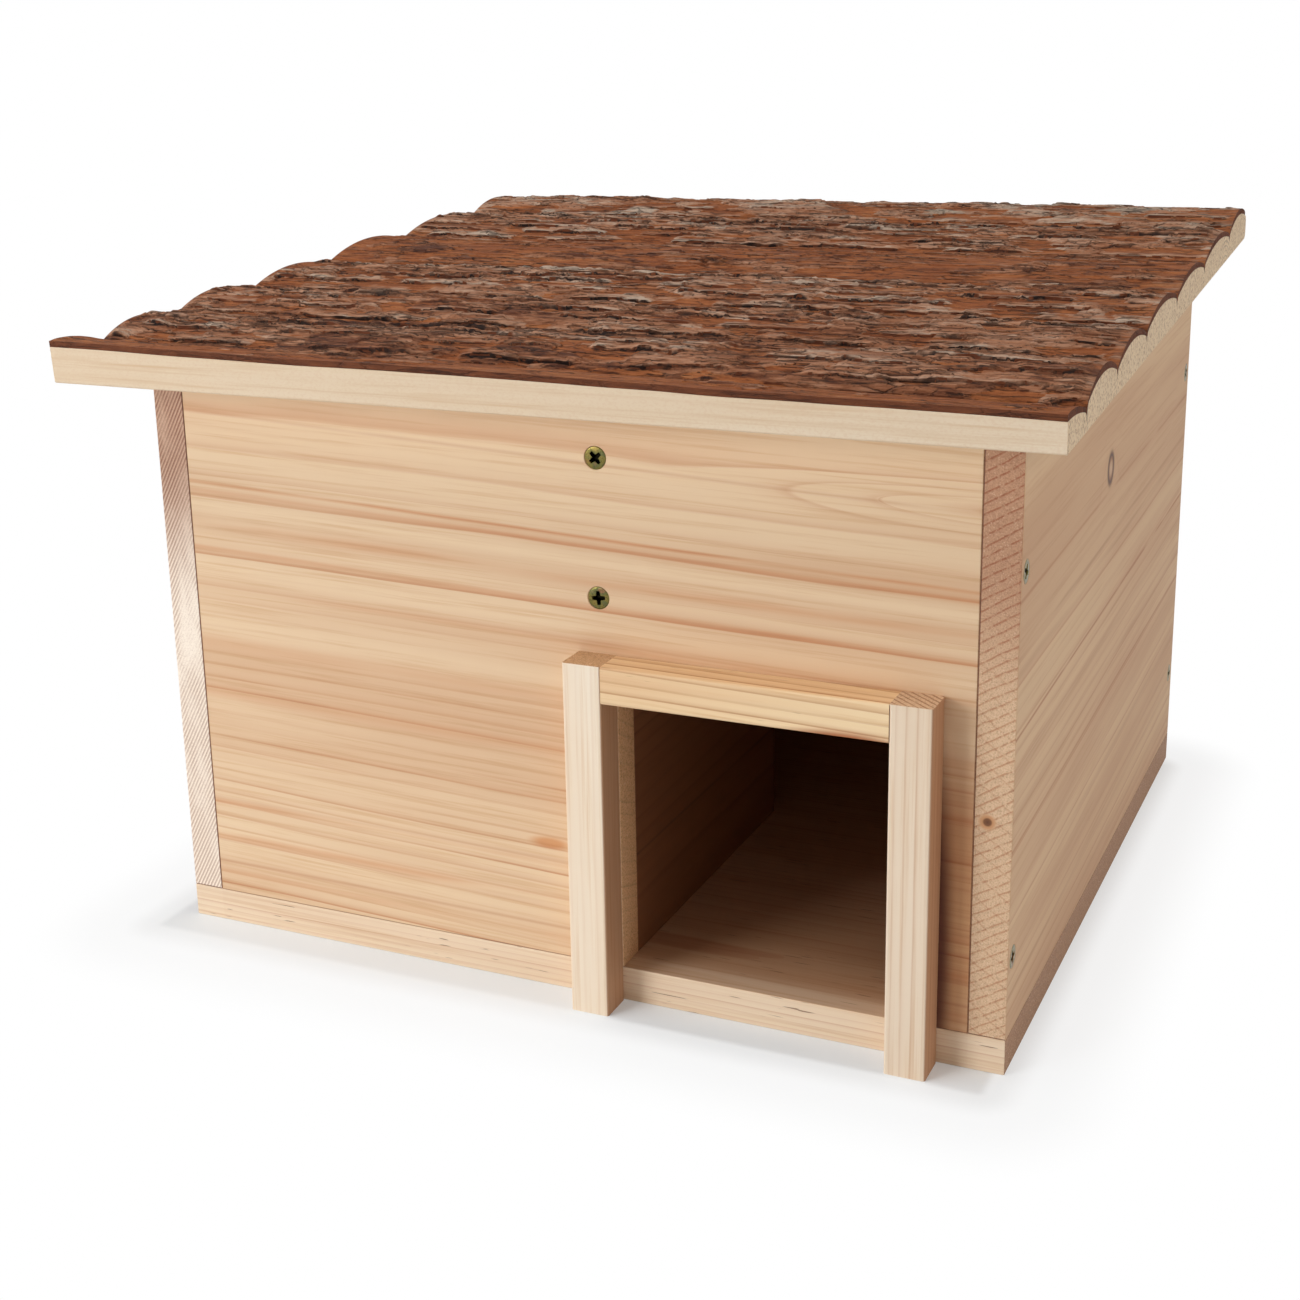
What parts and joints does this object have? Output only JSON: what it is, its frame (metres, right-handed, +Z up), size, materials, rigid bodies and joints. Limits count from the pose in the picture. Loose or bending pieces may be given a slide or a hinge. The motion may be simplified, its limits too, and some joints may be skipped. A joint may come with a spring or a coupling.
{
  "type": "hedgehog house",
  "caption": "Wooden hedgehog house with a framed doorway off to one side, an inner wall that turns the way in, and a sloping roof of bark slabs hinged at the back.",
  "frame": {"origin": "on the ground, at the middle of the outline seen from above, which the roof sets", "axes": "+X along the front to the right as seen from in front, +Y from the doorway side to the hinged back, +Z up"},
  "size_m": [0.368, 0.3629, 0.2613],
  "materials": {
    "board_wood": "planed softwood, untreated",
    "frame_wood": "planed softwood, edges eased",
    "batten_wood": "sawn softwood",
    "slab_wood": "sawn softwood",
    "bark": "rough natural bark",
    "yellow_zinc": "yellow zinc plate",
    "hinge_steel": "bright zinc plate"
  },
  "bodies": {
    "house": {"floor_board": "board_wood", "left_wall": "board_wood", "right_wall": "board_wood", "front_wall": "board_wood", "back_wall": "board_wood", "divider": "board_wood", "entrance_post_left": "frame_wood", "entrance_post_right": "frame_wood", "entrance_lintel": "frame_wood", "divider_screws": "yellow_zinc", "left_wall_screws": "yellow_zinc", "right_wall_screws": "yellow_zinc", "floor_screws": "yellow_zinc", "entrance_screws": "yellow_zinc", "hinge_wall_leaf_left": "hinge_steel", "hinge_wall_leaf_right": "hinge_steel", "hinge_pin_left": "hinge_steel", "hinge_pin_right": "hinge_steel", "hinge_wall_screws": "yellow_zinc"},
    "roof": {"roof_batten_left": "batten_wood", "roof_batten_right": "batten_wood", "batten_screws": "yellow_zinc", "hinge_roof_leaf_left": "hinge_steel", "hinge_roof_leaf_right": "hinge_steel", "hinge_roof_screws": "yellow_zinc", "roof_slab_1": "slab_wood", "roof_slab_2": "slab_wood", "roof_slab_3": "slab_wood", "roof_slab_4": "slab_wood", "roof_slab_5": "slab_wood", "roof_slab_6": "slab_wood", "roof_slab_7": "slab_wood", "roof_bark_1": "bark", "roof_bark_2": "bark", "roof_bark_3": "bark", "roof_bark_4": "bark", "roof_bark_5": "bark", "roof_bark_6": "bark", "roof_bark_7": "bark"}
  },
  "joints": [
    {"name": "roof_hinge", "type": "hinge", "parent": "house", "child": "roof", "pos_m": [0, 0.16811, 0.2427], "axis": [-1, 0, 0], "range_deg": [0, 90]}
  ]
}
